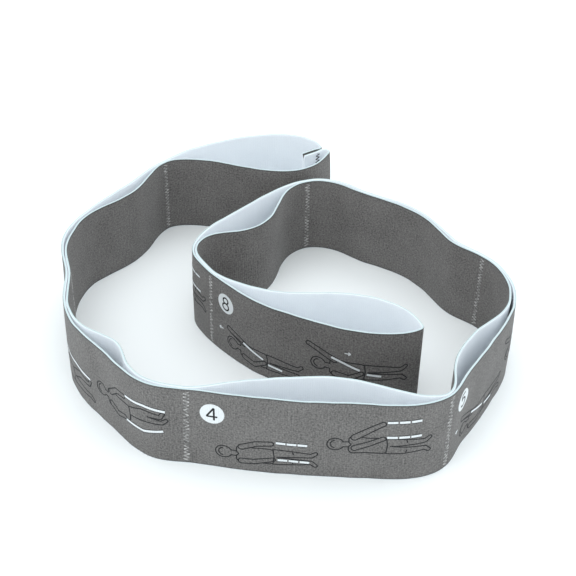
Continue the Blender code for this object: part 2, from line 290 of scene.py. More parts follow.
outFold, foldBend, backFold = foldCurve()
legs = [layerCurve(loop, "outer") for loop in range(1, 8)]
legs += [np.vstack([outFold, foldBend[1:-1], backFold])]
legs += [layerCurve(loop, "inner")[::-1] for loop in range(7, 0, -1)]
strip = np.vstack([leg[:-1] for leg in legs[:-1]] + [legs[-1]])       # the whole white face
stripAt = lengthsAlong(strip)                                         # s of each of its points
legEnds = np.cumsum([lengthsAlong(leg)[-1] for leg in legs])
seamsAt = {("outer", k): legEnds[k - 1] for k in range(1, 8)}
seamsAt |= {("inner", k): legEnds[14 - k] for k in range(1, 8)}
runs = np.diff(strip, axis=0)
headingAt = (stripAt[1:] + stripAt[:-1]) / 2
headings = np.unwrap(np.arctan2(runs[:, 1], runs[:, 0]))
foldAt = (legEnds[6] + lengthsAlong(outFold)[-1], legEnds[7] - lengthsAlong(backFold)[-1])
print(f"strip: {stripAt[-1]:.3f} m long")


# the cloth as a surface of s along the strip, z up its width and depth below its white face

relief = {
    "bow": 0.35 * mm,          # how far the middle of the width stands out, towards the grey face
    "bowFree": (5 * mm, 28 * mm),   # distance from a seam over which the bow grows
    "drift": 0.10 * mm,        # long soft waves of the whole cloth
    # radians a metre along and a metre up, shift and share of each wave
    "driftWaves": ((171, 60, 0.0, 1.0), (397, -95, 1.3, 0.6), (613, 150, 0.0, 0.4)),
    "edgeWave": 0.08 * mm,     # waves of the top edge
    "edgeWaves": ((83, 0.0, 1.0), (197, 2.0, 0.6)),   # radians a metre along, shift and share
    "neck": 0.16 * mm,         # how much a seam pulls each edge in
    "neckReach": 3.2 * mm,
    "press": 0.12 * mm,        # how deep the stitches press into the face they lie on
    "pressReach": 2.0 * mm,
    "pressMargin": (0.2 * mm, 2.0 * mm),    # distance from an edge over which the pressing grows
    "flapSpread": 0.6 * mm,    # how far the top of each cut end springs away from the other
    "flapTop": 37 * mm,        # height where the spread begins
    "flapPinch": 0.14 * mm,    # how much they lean together below that, at the cut
    "pinchStart": 4 * mm,      # from the closing seam
    "rollBulge": 1.1 * mm,     # how far the middle of the width stands out at the closing seam's rolls
    "rollReach": 9.0 * mm,
    "rollStart": 3 * mm,       # over which the bulge and the spread begin
}
stitchLines = sorted(seamsAt.values())                                # on the grey face
closingLines = [strap["seamAllowance"] - strap["closingOffset"],
                stripAt[-1] - strap["seamAllowance"] + strap["closingOffset"]]   # on the white face
stillLines = stitchLines + closingLines + [strap["seamAllowance"], stripAt[-1] - strap["seamAllowance"],
                                           sum(foldAt) / 2]


def rise(x, start, end):
    # smooth step from 0 at start to 1 at end
    t = np.clip((x - start) / (end - start), 0, 1)
    return t * t * (3 - 2 * t)


def nearest(s, lines):
    # distance from s to the nearest of the lines
    return np.abs(np.asarray(s)[..., None] - np.array(lines)).min(axis=-1)


def cloth(s, z, depth):
    # point of the cloth: the plan line at s, its left normal, minus the depth, the bow and soft waves
    s, z, depth = np.broadcast_arrays(s, z, depth)
    width = strap["width"]
    x, y = np.interp(s, stripAt, strip[:, 0]), np.interp(s, stripAt, strip[:, 1])
    heading = np.interp(s, headingAt, headings)
    free = rise(nearest(s, stillLines), *relief["bowFree"])
    bow = relief["bow"] * (1 - (2 * z / width - 1) ** 2)
    drift = relief["driftWaves"]
    waves = sum(share * np.sin(s * along + z * up + shift) for along, up, shift, share in drift)
    out = depth + free * (bow + relief["drift"] * waves)
    fromRoll = np.minimum(s, stripAt[-1] - s) - strap["seamAllowance"]       # negative on the flaps
    bulge = rise(fromRoll, 0, relief["rollStart"])
    bulge = bulge * np.exp(-(np.maximum(fromRoll, 0) / relief["rollReach"]) ** 2)
    out = out + relief["rollBulge"] * bulge * (1 - (2 * z / width - 1) ** 2)
    top = rise(z, relief["flapTop"], width)
    out = out - relief["flapSpread"] * rise(-fromRoll, 0, relief["rollStart"]) * top
    pinch = rise(-fromRoll, relief["pinchStart"], strap["seamAllowance"])
    out = out + relief["flapPinch"] * pinch * (1 - top)
    neck = relief["neck"] * np.exp(-(nearest(s, stitchLines) / relief["neckReach"]) ** 2)
    edge = sum(share * np.sin(s * along + shift) for along, shift, share in relief["edgeWaves"])
    edge = edge * relief["edgeWave"] * rise(z, 0, width)
    up = z * (1 - 2 * neck / width) + neck + free * edge
    return np.stack([x + np.sin(heading) * out, y - np.cos(heading) * out, up], axis=-1)


def pressed(s, z, lines):
    # how far the stitches of those lines press the face in, fading out towards the edges
    side = rise(z, *relief["pressMargin"]) * rise(strap["width"] - z, *relief["pressMargin"])
    return relief["press"] * side * np.exp(-(nearest(s, lines) / relief["pressReach"]) ** 4)


# materials: every pattern is on the cloth's own map, u along the strip and v up its width, in widths


class shaderNodes:
    # short way to join the nodes of one material
    def __init__(self, name):
        self.material = bpy.data.materials.new(name)
        self.material.use_nodes = True
        self.tree = self.material.node_tree
        self.shader = self.tree.nodes["Principled BSDF"]

    def put(self, kind, inputs, output=0, **settings):
        # a new node with its sockets joined or set; gives back one of its outputs
        node = self.tree.nodes.new(kind)
        for key, value in settings.items():
            setattr(node, key, value)
        for key, value in inputs.items():
            if isinstance(value, bpy.types.NodeSocket):
                self.tree.links.new(value, node.inputs[key])
            else:
                node.inputs[key].default_value = value
        return node.outputs[output]

    def math(self, operation, a, b=0.0):
        return self.put("ShaderNodeMath", {0: a, 1: b}, operation=operation)

    def times(self, a, b, c):
        # a times b plus c
        return self.put("ShaderNodeMath", {0: a, 1: b, 2: c}, operation="MULTIPLY_ADD")

    def stretched(self, at, x, y, z=1.0):
        # a place with each of its parts multiplied
        return self.put("ShaderNodeVectorMath", {0: at, 1: (x, y, z)}, operation="MULTIPLY")

    def noise(self, at, scale, detail=2.0, roughness=0.5):
        return self.put("ShaderNodeTexNoise", {"Vector": at, "Scale": scale, "Detail": detail,
                                               "Roughness": roughness})

    def range(self, x, low, high, toLow, toHigh):
        # x carried from low..high to toLow..toHigh along a straight line
        return self.put("ShaderNodeMapRange", {"Value": x, "From Min": low, "From Max": high,
                                               "To Min": toLow, "To Max": toHigh})

    def millimetres(self):
        # the cloth's map in millimetres, whole and as its two parts
        width = strap["width"] / mm
        at = self.stretched(self.put("ShaderNodeUVMap", {}, uv_map="clothMap"), width, width)
        parts = self.tree.nodes.new("ShaderNodeSeparateXYZ")
        self.tree.links.new(at, parts.inputs[0])
        return at, parts.outputs[0], parts.outputs[1]

    def mix(self, factor, a, b, blend="MIX"):
        return self.put("ShaderNodeMix", {0: factor, 6: a, 7: b}, 2, data_type="RGBA", blend_type=blend)

    def finish(self, colour, roughness, bumpHeight, bumpDepth, **sockets):
        self.tree.links.new(colour, self.shader.inputs["Base Color"])
        self.tree.links.new(roughness, self.shader.inputs["Roughness"])
        bump = self.put("ShaderNodeBump", {"Height": bumpHeight, "Distance": bumpDepth, "Strength": 1.0})
        self.tree.links.new(bump, self.shader.inputs["Normal"])
        for key, value in sockets.items():
            self.shader.inputs[key.replace("_", " ")].default_value = value
        return self.material


greyLook = {
    "dark": (0.040, 0.0385, 0.0375, 1), "pale": (0.278, 0.269, 0.262, 1),
    "selvedge": (0.045, 0.047, 0.05, 1), "selvedgeShare": 0.55,
    "rib": 0.92,            # millimetres between ribs, along the strap
    "pick": 0.62,           # millimetres between picks, up the width
    "edgeDark": 0.55,       # millimetres of darker selvedge yarn beside the white edge
    "grain": 0.52, "speckle": 0.20, "ribs": 0.03, "streaks": 0.28,     # shares in the tone
    "patches": (-0.07, 0.05),                                          # slow change of tone
    "depth": 0.10 * mm,
}
whiteLook = {
    "shade": (0.755, 0.80, 0.85, 1), "bright": (0.865, 0.91, 0.945, 1),
    "edge": (0.50, 0.61, 0.63, 1),         # the yarn of the rounded top edge, darker than the face: its own tint plus painted shade against the overhead light it catches
    "rib": 0.92, "pick": 0.46,
    "speckle": (0.45, 0.95), "ribs": 0.05, "patches": (-0.15, 0.1),     # parts of the tone
    "edgeFade": 0.25,                       # millimetres from the edge yarn to the face
    "depth": 0.06 * mm,
}
weave = {"wander": 1.2, "rib": 0.30, "pick": 0.22, "fibre": 1.1}        # shares in the height of the cloth
noiseSpread = (0.3, 0.7)       # where nearly all values of a noise lie


def ribbedHeight(n, along, up, at, look):
    # ribs across the width and picks that step by half a pitch from rib to rib, with loose fibre noise
    wander = n.range(n.noise(at, 0.5, 2.0), *noiseSpread, -weave["wander"], weave["wander"])   # radians
    rib = n.math("SINE", n.times(along, 2 * math.pi / look["rib"], wander))
    step = n.math("MULTIPLY", n.math("ROUND", n.math("DIVIDE", along, look["rib"])), math.pi)
    pick = n.math("SINE", n.times(up, 2 * math.pi / look["pick"], step))
    fibre = n.noise(at, 3.4, 3.0, 0.6)
    height = n.times(pick, weave["pick"], n.math("MULTIPLY", rib, weave["rib"]))
    return n.times(fibre, weave["fibre"], height), rib


def greyCloth():
    # mixed yarn: tone is the sum of a mottle, fine fibres, ribs, short streaks and slow patches
    n = shaderNodes("greyWovenFace")
    look = greyLook
    at, along, up = n.millimetres()
    height, rib = ribbedHeight(n, along, up, at, look)
    grain = n.range(n.noise(at, 1.25, 2.0, 0.6), 0.32, 0.68, 0.0, 1.0)      # mottle of the mixed yarn
    speckle = n.range(n.noise(at, 3.1, 2.0, 0.7), *noiseSpread, 0.0, 1.0)   # salt and pepper fibres
    streaks = n.noise(n.stretched(at, 1.5, 0.16), 1.0, 3.0)
    patches = n.noise(at, 0.07, 2.0)
    tone = n.times(speckle, look["speckle"], n.math("MULTIPLY", rib, look["ribs"]))
    tone = n.times(streaks, look["streaks"], n.times(grain, look["grain"], tone))
    tone = n.math("ADD", tone, n.range(patches, *noiseSpread, *look["patches"]))
    colour = n.mix(tone, look["dark"], look["pale"])
    half = strap["width"] / mm / 2
    fromMiddle = n.math("ABSOLUTE", n.math("SUBTRACT", up, half))
    start, end = half - 1.6 * look["edgeDark"], half - look["edgeDark"]
    colour = n.mix(n.range(fromMiddle, start, end, 0.0, look["selvedgeShare"]), colour, look["selvedge"])
    roughness = n.range(speckle, 0.0, 1.0, 0.82, 0.95)
    return n.finish(colour, roughness, height, look["depth"], Specular_IOR_Level=0.2, Sheen_Weight=0.1,
                    Sheen_Roughness=0.5)


def whiteCloth():
    # pale yarn: tone is the sum of fine fibres, ribs and slow patches, with a darker edge colour on the top
    # edge, partly its own yarn and partly painted shade
    n = shaderNodes("whiteWovenFace")
    look = whiteLook
    at, along, up = n.millimetres()
    height, rib = ribbedHeight(n, along, up, at, look)
    speckle = n.noise(at, 2.2, 3.0, 0.6)
    patches = n.noise(at, 0.09, 2.0)
    tone = n.times(rib, look["ribs"], n.range(speckle, *noiseSpread, *look["speckle"]))
    tone = n.math("ADD", tone, n.range(patches, *noiseSpread, *look["patches"]))
    colour = n.mix(tone, look["shade"], look["bright"])
    # the white face begins past the rounded edge, which is half the thickness high and deep
    pastEdge = (strap["width"] + (math.pi / 2 - 1) * strap["thickness"]) / mm
    # painted shade: only the top edge takes the darker edge colour, so that the edge facing the overhead
    # light reads no brighter than the face
    onShadedTopEdge = n.range(up, pastEdge, pastEdge + look["edgeFade"], 1.0, 0.0)
    colour = n.mix(onShadedTopEdge, colour, look["edge"])
    roughness = n.range(speckle, *noiseSpread, 0.78, 0.92)
    return n.finish(colour, roughness, height, look["depth"], Specular_IOR_Level=0.25, Sheen_Weight=0.2,
                    Sheen_Roughness=0.5)


def inkOnCloth(name, ink, worn, wear):
    # ink in the tops of the weave: the ribs show through, and small gaps where it didn't reach
    n = shaderNodes(name)
    at, along, up = n.millimetres()
    height, rib = ribbedHeight(n, along, up, at, greyLook)
    speckle = n.noise(at, 2.9, 3.0, 0.65)
    gaps = n.range(speckle, 0.36, 0.30, 0.0, wear)
    colour = n.mix(gaps, (*ink, 1), (*worn, 1))
    colour = n.mix(n.range(rib, -1.0, -0.3, 0.16, 0.0), colour, (*worn, 1))
    roughness = n.range(speckle, *noiseSpread, 0.6, 0.8)
    return n.finish(colour, roughness, height, 0.05 * mm, Specular_IOR_Level=0.3)


def spunThread(name, dark, pale):
    # uneven tone from stitch to stitch, and fibres on the plies
    n = shaderNodes(name)
    at = n.put("ShaderNodeTexCoord", {}, 3)
    fibre = n.noise(at, 9.0 / mm, 2.0)
    slow = n.noise(at, 0.7 / mm, 2.0)
    colour = n.mix(n.range(slow, *noiseSpread, 0.0, 1.0), (*dark, 1), (*pale, 1))
    roughness = n.range(fibre, *noiseSpread, 0.45, 0.7)
    return n.finish(colour, roughness, fibre, 0.04 * mm, Specular_IOR_Level=0.4, Sheen_Weight=0.15)


materials = {
    "grey": greyCloth(),
    "white": whiteCloth(),
    "whiteInk": inkOnCloth("whitePrintingInk", (0.74, 0.78, 0.80), (0.40, 0.41, 0.42), 0.7),
    "blackInk": inkOnCloth("blackPrintingInk", (0.014, 0.014, 0.016), (0.09, 0.09, 0.09), 0.7),
    "paleThread": spunThread("paleThread", (0.10, 0.10, 0.10), (0.62, 0.62, 0.61)),
    "darkThread": spunThread("darkThread", (0.02, 0.02, 0.024), (0.06, 0.06, 0.07)),
}
print("materials:", len(materials))


# meshes


def makeMesh(name, vertices, faces, uv, looks, faceLooks=None, sharp=50):
    # puts whole arrays into a mesh; uv holds one row for each corner of each face
    data = bpy.data.meshes.new(name)
    data.from_pydata(np.asarray(vertices).tolist(), [], faces)
    for look in looks:
        data.materials.append(materials[look])
    if faceLooks is not None:
        data.polygons.foreach_set("material_index", np.asarray(faceLooks, np.int32))
    data.uv_layers.new(name="clothMap").data.foreach_set("uv", np.asarray(uv, np.float32).ravel())
    data.shade_smooth()
    data.set_sharp_from_angle(angle=math.radians(sharp))
    data.validate()
    data.update()
    obj = bpy.data.objects.new(name, data)
    bpy.context.scene.collection.objects.link(obj)
    return obj


def tubeFaces(rows, columns, start=0):
    # quads of a closed tube of rows by columns, as an array of corner numbers
    i, j = np.meshgrid(np.arange(rows - 1), np.arange(columns), indexing="ij")
    k = (j + 1) % columns
    return start + np.stack([i * columns + j, i * columns + k, (i + 1) * columns + k, (i + 1) * columns + j],
                            axis=-1).reshape(-1, 4)


def tubeUv(u, v):
    # corner map of the same quads; v has one more value than there are columns
    i, j = np.meshgrid(np.arange(len(u) - 1), np.arange(len(v) - 1), indexing="ij")
    corners = [(u[i], v[j]), (u[i], v[j + 1]), (u[i + 1], v[j + 1]), (u[i + 1], v[j])]
    return np.stack([np.stack(corner, axis=-1) for corner in corners], axis=-2).reshape(-1, 2)


# webbing: the strip in 17 lengths, cut in the middle of each layer, so that each crosses one seam at most

section = {
    "columns": 20,             # across a face
    "edgeSteps": 8,            # round an edge
    "edgeHeight": 0.50 * mm,   # half axis of the rounded edge, up the width
    "bead": 0.05 * mm,         # thicker yarn along each edge
    "beadReach": 1.3 * mm,
    "greyEdge": 2,             # steps of the edge that the grey yarn still covers
    "step": 1.15 * mm,         # between rows where the strip is straight
    "bendWeight": 3.6 * mm,    # more rows where it bends
}
fineSteps = 1500               # samples of the strip between two cuts, to place the rows


def sectionLine():
    # once round the webbing: up the grey face, over the top edge, down the white face, under the bottom edge
    width, half, edge = strap["width"], strap["thickness"] / 2, section["edgeHeight"]
    up = np.linspace(edge, width - edge, section["columns"] + 1)
    turn = np.linspace(0, math.pi, section["edgeSteps"] + 1)[1:-1]
    z = np.r_[up, width - edge + edge * np.sin(turn), up[::-1], edge - edge * np.sin(turn)]
    depth = half + half * np.r_[np.ones_like(up), np.cos(turn), -np.ones_like(up), -np.cos(turn)]
    fromEdge = np.minimum(z, width - z)
    bead = section["bead"] * np.exp(-(fromEdge / section["beadReach"]) ** 2) * np.sign(depth - half)
    depth = depth + bead
    closed = np.column_stack([np.r_[z, z[0]], np.r_[depth, depth[0]]])
    return z, depth, lengthsAlong(closed)


def rowsBetween(start, end):
    # values of s between two cuts, closer together where the strip bends
    s = np.linspace(start, end, fineSteps)
    bend = np.abs(np.gradient(np.interp(s, headingAt, headings), s))
    weight = np.r_[0, np.cumsum((1 + (bend[1:] + bend[:-1]) / 2 * section["bendWeight"]) * np.diff(s))]
    count = math.ceil(weight[-1] / section["step"])
    return np.interp(np.linspace(0, weight[-1], count + 1), weight, s)


def makeWebbing(name, start, end):
    # the section carried along the strip, closed at both cuts, with its faces grey or white
    s, (z, depth, around) = rowsBetween(start, end), sectionLine()
    width, half = strap["width"], strap["thickness"] / 2
    s2, z2, depth2 = s[:, None], z[None, :], depth[None, :]
    grey = np.clip((depth2 - half) / half, 0, 1)
    white = np.clip((half - depth2) / half, 0, 1)
    depth2 = depth2 - grey * pressed(s2, z2, stitchLines) + white * pressed(s2, z2, closingLines)
    points = cloth(s2, z2, depth2).reshape(-1, 3)
    columns = len(z)
    faces = tubeFaces(len(s), columns)[:, ::-1]
    uv = tubeUv(s / width, (around + z[0]) / width).reshape(-1, 4, 2)[:, ::-1]
    caps = [list(range(columns)), list(range((len(s) - 1) * columns, len(s) * columns))[::-1]]
    # the cut ends lie past the white face on the map, so that they take its colour
    capUv = [np.column_stack([np.full(columns, value / width), z / width + 3]) for value in (start, end)]
    capUv[1] = capUv[1][::-1]
    face = np.arange(columns)
    isWhite = (face >= section["columns"] + section["greyEdge"]) & (face < columns - section["greyEdge"])
    looks = np.r_[np.tile(isWhite, len(s) - 1), 1, 1].astype(np.int32)
    obj = makeMesh(name, points, faces.tolist() + caps, np.vstack([uv.reshape(-1, 2), *capUv]),
                   ["grey", "white"], looks)
    return obj


def middleOf(start, end):
    # where the strip is cut between two seams
    return (start + end) / 2


outerMiddles = [middleOf(a, b) for a, b in zip(legEnds[:6], legEnds[1:7])]
innerMiddles = [middleOf(a, b) for a, b in zip(legEnds[7:13], legEnds[8:14])]
cuts = [0.0, middleOf(strap["seamAllowance"], legEnds[0]), *outerMiddles, middleOf(legEnds[6], foldAt[0]),
        middleOf(foldAt[1], legEnds[7]), *innerMiddles,
        middleOf(legEnds[13], stripAt[-1] - strap["seamAllowance"]), stripAt[-1]]
lengthNames = [("outer", 1)] + [("outer", k, k + 1) for k in range(1, 8)] + [("fold", 8)]
lengthNames += [("inner", k, k + 1) for k in range(7, 0, -1)] + [("inner", 1)]


def bendAt(obj):
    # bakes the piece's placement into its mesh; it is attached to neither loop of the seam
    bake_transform(obj)


def layerNode(layer, loop):
    # the solid that stands for a layer of a loop
    return "loop_8_folded_layers" if loop == 8 else f"loop_{loop}_{layer}_layer"


for label, start, end in zip(lengthNames, cuts[:-1], cuts[1:]):
    layer, *loops = label
    piece = makeWebbing("_".join([f"{layer}_webbing", *map(str, loops)]), start, end)
    if len(loops) == 2:
        bendAt(piece)
    else:
        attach(piece, f"loop_{loops[0]}")
    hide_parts(*(layerNode(layer, loop) for loop in loops))


# stitches: twisted thread in a zigzag that dips into the cloth at each needle hole

stitch = {
    "radius": 0.15 * mm,
    "width": 2.8 * mm,          # of the zigzag
    "pitch": 1.8 * mm,          # up the seam, for one zig and one zag
    "margin": 1.3 * mm,         # from the edges of the webbing
    "backTack": 6,              # stitches sewn twice at each end
    "backShift": 0.35 * mm,     # between the two passes
    "proud": 0.10 * mm,         # centre of the thread above the face in the middle of a stitch
    "dip": 0.36 * mm,           # and below that at the needle holes
    "tackSink": 0.05 * mm,      # how much deeper the doubled pass of a back-tack lies
    "uneven": 0.13 * mm,        # how far the holes stray from their even places
    "stray": (0.37, 12.9, 78.2),   # radians a seam and a hole, so that no two holes stray alike
    "lean": {3: 1.2 * mm},      # seam number to how much its top end is further along than its bottom
    "ply": 0.13,                # share of the radius that the twist of the plies stands out
    "twist": 1.0 * mm,          # length of one turn of the plies
    "sides": 8,
    "ring": 0.16 * mm,          # between rings of the tube
}


def zigzagLine(first, number):
    # plan of the stitches: across the seam, up it, and how deep the thread lies, with back-tacks at both ends
    pitch, tack = stitch["pitch"] / 2, stitch["backTack"]
    low, high = stitch["margin"], strap["width"] - stitch["margin"]
    count = round((high - low) / pitch)
    pitch = (high - low) / count
    top = high - pitch * np.r_[tack:0:-1, 0:count + 1]     # up over the first tack, then all the way down
    z = np.r_[top, low + pitch * np.arange(1, tack + 1)]
    perSeam, strayUp, strayAcross = stitch["stray"]
    order = np.arange(len(z)) + perSeam * number
    z = np.clip(z + stitch["uneven"] * np.sin(order * strayUp), low, high)
    swing = np.where(np.arange(len(z)) % 2 == 0, first, -first) * (stitch["width"] / 2 - stitch["radius"])
    shift = np.r_[np.full(tack, 1.0), np.zeros(count + 1), np.full(tack, 1.0)] * stitch["backShift"]
    shift += stitch["uneven"] * np.sin(order * strayAcross)
    shift += stitch["lean"].get(number, 0.0) * (z / strap["width"] - 0.5)
    steps = math.ceil(math.hypot(stitch["width"], pitch) / stitch["ring"])
    t = np.linspace(0, len(z) - 1, (len(z) - 1) * steps + 1)
    hole = np.arange(len(z))
    across, up = np.interp(t, hole, swing + shift), np.interp(t, hole, z)
    inStitch = np.abs(2 * (t % 1) - 1)                                # 1 at a hole and 0 in the middle
    lift = stitch["proud"] - stitch["dip"] * inStitch ** 5
    lift[(t < tack) | (t > len(z) - 1 - tack)] -= stitch["tackSink"]
    return across, up, lift


def tube(name, line, outward, look):
    # twisted thread: a round profile carried along a line, its radius swelling where the two plies pass
    along = np.gradient(line, axis=0)
    along /= np.linalg.norm(along, axis=1)[:, None]
    side = np.cross(along, outward)
    side /= np.linalg.norm(side, axis=1)[:, None]
    up = np.cross(side, along)
    length = lengthsAlong(line)
    angle = np.arange(stitch["sides"]) * 2 * math.pi / stitch["sides"]
    swell = 1 + stitch["ply"] * np.cos(2 * (angle[None, :] - length[:, None] * 2 * math.pi / stitch["twist"]))
    radius = (stitch["radius"] * swell)[..., None]
    rings = line[:, None] + radius * (np.cos(angle)[None, :, None] * side[:, None]
                                      + np.sin(angle)[None, :, None] * up[:, None])
    columns = len(angle)
    faces = tubeFaces(len(line), columns)
    uv = tubeUv(length / strap["width"], np.arange(columns + 1) / columns)
    caps = [list(range(columns))[::-1], list(range((len(line) - 1) * columns, len(line) * columns))]
    uv = np.vstack([uv, np.zeros((2 * columns, 2))])
    return makeMesh(name, rings.reshape(-1, 3), faces.tolist() + caps, uv, [look], sharp=80)


def faceLine(s0, across, up, lift, face, way):
    # the stitches laid on a face of the cloth at s0; way is 1 where the strap and the strip run alike
    s = s0 + way * across
    if face == "grey":
        return cloth(s, up, strap["thickness"] - pressed(s, up, stitchLines) + lift)
    return cloth(s, up, pressed(s, up, closingLines) - lift)


def makeStitches(name, number, s0, face, way, look):
    # one thread: the zigzag on its face of the cloth, drawn as a twisted tube
    line = faceLine(s0, *zigzagLine(1, number), face, way)
    heading = np.interp(s0, headingAt, headings)
    right = np.array([math.sin(heading), -math.cos(heading), 0.0])
    outward = right if face == "grey" else -right
    obj = tube(name, line, outward, look)
    return obj


threads = {}
for number in range(1, 8):
    for kind, layer, way in (("needle", "outer", 1), ("bobbin", "inner", -1)):
        name = f"{kind}_stitches_{number}_{number + 1}"
        piece = makeStitches(name, number, seamsAt[layer, number], "grey", way, "paleThread")
        bendAt(piece)
        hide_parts(f"seam_{number}_{number + 1}_{kind}_thread")
        threads[layer, number] = piece
for kind, layer, s0 in (("needle", "outer", closingLines[0]), ("bobbin", "inner", closingLines[1])):
    piece = makeStitches(f"closing_{kind}_stitches", 0, s0, "white", 1, "darkThread")
    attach(piece, "loop_1")
    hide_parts(f"closing_seam_{kind}_thread")
    threads[layer, 0] = piece
print("stitches:", len(threads), "threads")


# prints on the outer face of each loop: thin slabs of ink that follow the cloth

ink = {
    "lift": 0.055 * mm,         # above the face
    "sink": 0.12 * mm,          # below it, so that the slab has no gap under it
    "line": 0.48 * mm,          # width of a drawn line
    "numeralLine": 0.78 * mm,
    "dash": 1.15 * mm,          # width of the strap in a figure
    "point": 0.36 * mm,         # between points of a line
    "over": 0.03 * mm,          # ink on ink lies this much higher
    "beside": 0.66,             # millimetres from the middle of a dash to its dark outline
    "dashGap": 0.05,            # share of a dash that is left free at each of its ends
}
disc = {"radius": 5.0 * mm, "afterSeam": 10.8 * mm, "height": 28.8 * mm, "rings": 7, "spokes": 56}
figureAt = {"first": (11.5 * mm, 9.5 * mm), "second": (56.0 * mm, 18.8 * mm)}   # along and up
figureBack = {1: (2.0 * mm, 7.0 * mm)}     # loop 1 is shorter, so both of its figures stand further back


def printFace(loop, x, y, lift):
    # a point x after the seam before the loop and y up, on the grey face of its outer layer
    start = strap["seamAllowance"] if loop == 1 else seamsAt["outer", loop - 1]
    return cloth(start + x, y, strap["thickness"] + lift)


def evenly(points, step):
    # the same line with points at even steps
    at = lengthsAlong(points)
    t = np.linspace(0, at[-1], max(2, round(at[-1] / step) + 1))
    return np.column_stack([np.interp(t, at, points[:, k]) for k in (0, 1)])


def inkStrokes(name, loop, strokes, width, lift, look):
    # each stroke is a thin closed bar: a flat profile of four corners carried along the line
    vertices, faces, uv, count = [], [], [], 0
    for stroke in strokes:
        line = evenly(np.asarray(stroke), ink["point"])
        along = np.gradient(line, axis=0)
        along /= np.linalg.norm(along, axis=1)[:, None] + 1e-12
        side = leftOf(along) * width / 2
        corners = np.stack([line + side, line - side, line - side, line + side], axis=1)
        lifts = np.array([lift, lift, -ink["sink"], -ink["sink"]])[None, :]
        vertices.append(printFace(loop, corners[..., 0], corners[..., 1], lifts).reshape(-1, 3))
        quads = tubeFaces(len(line), 4, count)
        flat = corners.reshape(-1, 2) / strap["width"]
        last = 4 * len(line) - 4 + np.arange(4)
        quads = np.vstack([quads, np.array([[3, 2, 1, 0], last]) + count])
        faces.append(quads)
        uv.append(flat[(quads - count).ravel()])
        count += 4 * len(line)
    obj = makeMesh(name, np.vstack(vertices), np.vstack(faces).tolist(), np.vstack(uv), [look], sharp=40)
    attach(obj, f"loop_{loop}")
    return obj


def inkDisc(loop):
    # rings and spokes from the middle out over the rim, and back under it to the middle
    out = np.linspace(0, 1, disc["rings"] + 1)
    radius = disc["radius"] * np.r_[out[1:], out[:0:-1]]
    lifts = np.r_[np.full(disc["rings"], ink["lift"]), np.full(disc["rings"], -ink["sink"])]
    angle = np.arange(disc["spokes"]) * 2 * math.pi / disc["spokes"]
    x = disc["afterSeam"] + radius[:, None] * np.cos(angle)
    y = disc["height"] + radius[:, None] * np.sin(angle)
    x, y = (np.r_[a.ravel(), middle, middle] for a, middle in ((x, disc["afterSeam"]), (y, disc["height"])))
    lift = np.r_[np.repeat(lifts, disc["spokes"]), ink["lift"], -ink["sink"]]
    points = printFace(loop, x, y, lift)
    rows, columns = len(radius), disc["spokes"]
    quads = tubeFaces(rows, columns)[:, ::-1]
    i = np.arange(columns)
    k = (i + 1) % columns
    top = np.column_stack([np.full(columns, rows * columns), i, k])
    back = (rows - 1) * columns
    under = np.column_stack([np.full(columns, rows * columns + 1), back + k, back + i])
    flat = np.column_stack([x, y]) / strap["width"]
    faces = quads.tolist() + top.tolist() + under.tolist()
    uv = flat[np.r_[quads.ravel(), top.ravel(), under.ravel()]]
    obj = makeMesh(f"number_disc_{loop}", points, faces, uv, ["whiteInk"], sharp=40)
    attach(obj, f"loop_{loop}")
    return obj


def arc(x, y, radiusX, radiusY, start, end):
    # part of an ellipse round a point, between two angles in degrees
    angles = np.radians(np.linspace(start, end, 40))
    return np.column_stack([x + radiusX * np.cos(angles), y + radiusY * np.sin(angles)])


numeralSize = 1.08
numerals = {     # strokes in millimetres round the middle of the disc, 6 tall before numeralSize
    1: [[(-1.2, 1.7), (0.3, 2.9), (0.3, -3.0)]],
    2: [np.vstack([arc(0, 1.25, 1.75, 1.7, 165, -38), [(-1.9, -2.9), (2.0, -2.9)]])],
    3: [arc(-0.1, 1.45, 1.6, 1.5, 150, -90), arc(-0.1, -1.45, 1.85, 1.5, 90, -150)],
    4: [[(0.7, -3.0), (0.7, 2.9), (-2.1, -1.3), (2.0, -1.3)]],
    5: [np.vstack([[(1.6, 2.9), (-1.2, 2.9), (-1.45, 0.35)], arc(-0.05, -0.95, 1.9, 1.95, 128, -150)])],
    6: [arc(0, -1.2, 1.8, 1.75, 0, 360), arc(2.2, -1.2, 4.0, 4.6, 180, 108)],
    7: [[(-1.9, 2.9), (1.9, 2.9), (-0.7, -3.0)]],
    8: [arc(0, 1.5, 1.45, 1.4, 0, 360), arc(0, -1.45, 1.8, 1.6, 0, 360)],
}


# exercise figures: each is drawn along the strap, head first, in millimetres from its own start.
# A part is a chain of (x, y, radius); the parts of a group run together, and later groups cover earlier ones.

head = [(3.4, 0.0, 3.1), (4.0, 0.0, 3.0)]
neck = [(6.4, 0.0, 1.3), (9.4, 0.0, 1.4)]
trunk = [(10.8, 2.6, 1.9), (10.8, -2.6, 1.9), (16.0, -1.6, 2.3), (22.0, -1.8, 2.3), (22.0, 1.8, 2.3),
         (16.0, 1.6, 2.3), (10.8, 2.6, 1.9)]
legStraight = [(24.2, 2.0, 2.1), (31.6, 2.1, 1.6), (38.8, 1.9, 1.0), (40.6, 3.4, 0.8)]
legForward = [(24.2, 2.0, 2.1), (30.6, 5.0, 1.6), (38.2, 4.8, 1.0), (39.4, 6.8, 0.8)]
legBack = [(24.2, -1.6, 2.1), (31.6, -1.7, 1.6), (38.8, -1.6, 1.0), (40.6, -3.0, 0.8)]
hair = arc(4.0, 0, 2.4, 2.1, 105, 255)
collar = [(8.6, 1.5), (9.9, 0.0), (8.6, -1.5)]
hem = [(23.6, 4.1), (24.1, 0.0), (23.6, -4.1)]
kneeCaps = [[(31.4, 3.3), (31.8, 1.9)], [(31.4, -3.3), (31.8, -1.9)]]
standing = [head, neck, trunk, legStraight, "mirror"]
dressed = [hair, collar, hem, *kneeCaps]
